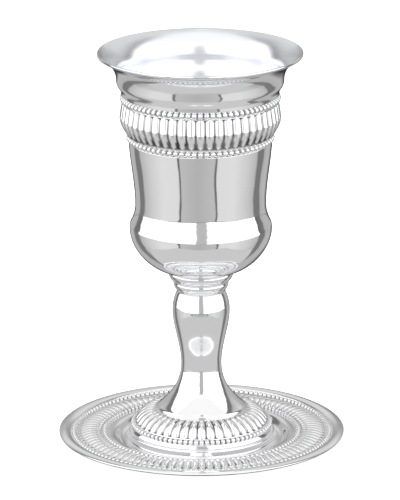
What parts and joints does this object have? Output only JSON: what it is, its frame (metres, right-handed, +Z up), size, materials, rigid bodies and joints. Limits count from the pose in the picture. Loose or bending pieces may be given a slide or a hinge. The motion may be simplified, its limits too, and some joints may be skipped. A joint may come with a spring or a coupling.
{
  "type": "kiddush cup",
  "caption": "Footed wine goblet for kiddush with a flared rim, gadrooned and beaded bands and a baluster stem, standing in the well of its fluted saucer.",
  "frame": {"origin": "on the axis of the cup and saucer, at the underside of the saucer's well, where it stands on the table", "axes": "+Z up along the axis of the cup, X and Y across it; all pieces are round, so the front is any side"},
  "size_m": [0.1, 0.1, 0.1407],
  "materials": {
    "spun_plate": "polished silver plate on spun and pressed brass",
    "cast_plate": "polished silver plate on cast brass"
  },
  "bodies": {
    "root": {"bowl": "spun_plate", "collar": "cast_plate", "stem": "cast_plate", "foot": "cast_plate", "saucer": "spun_plate"}
  },
  "joints": []
}
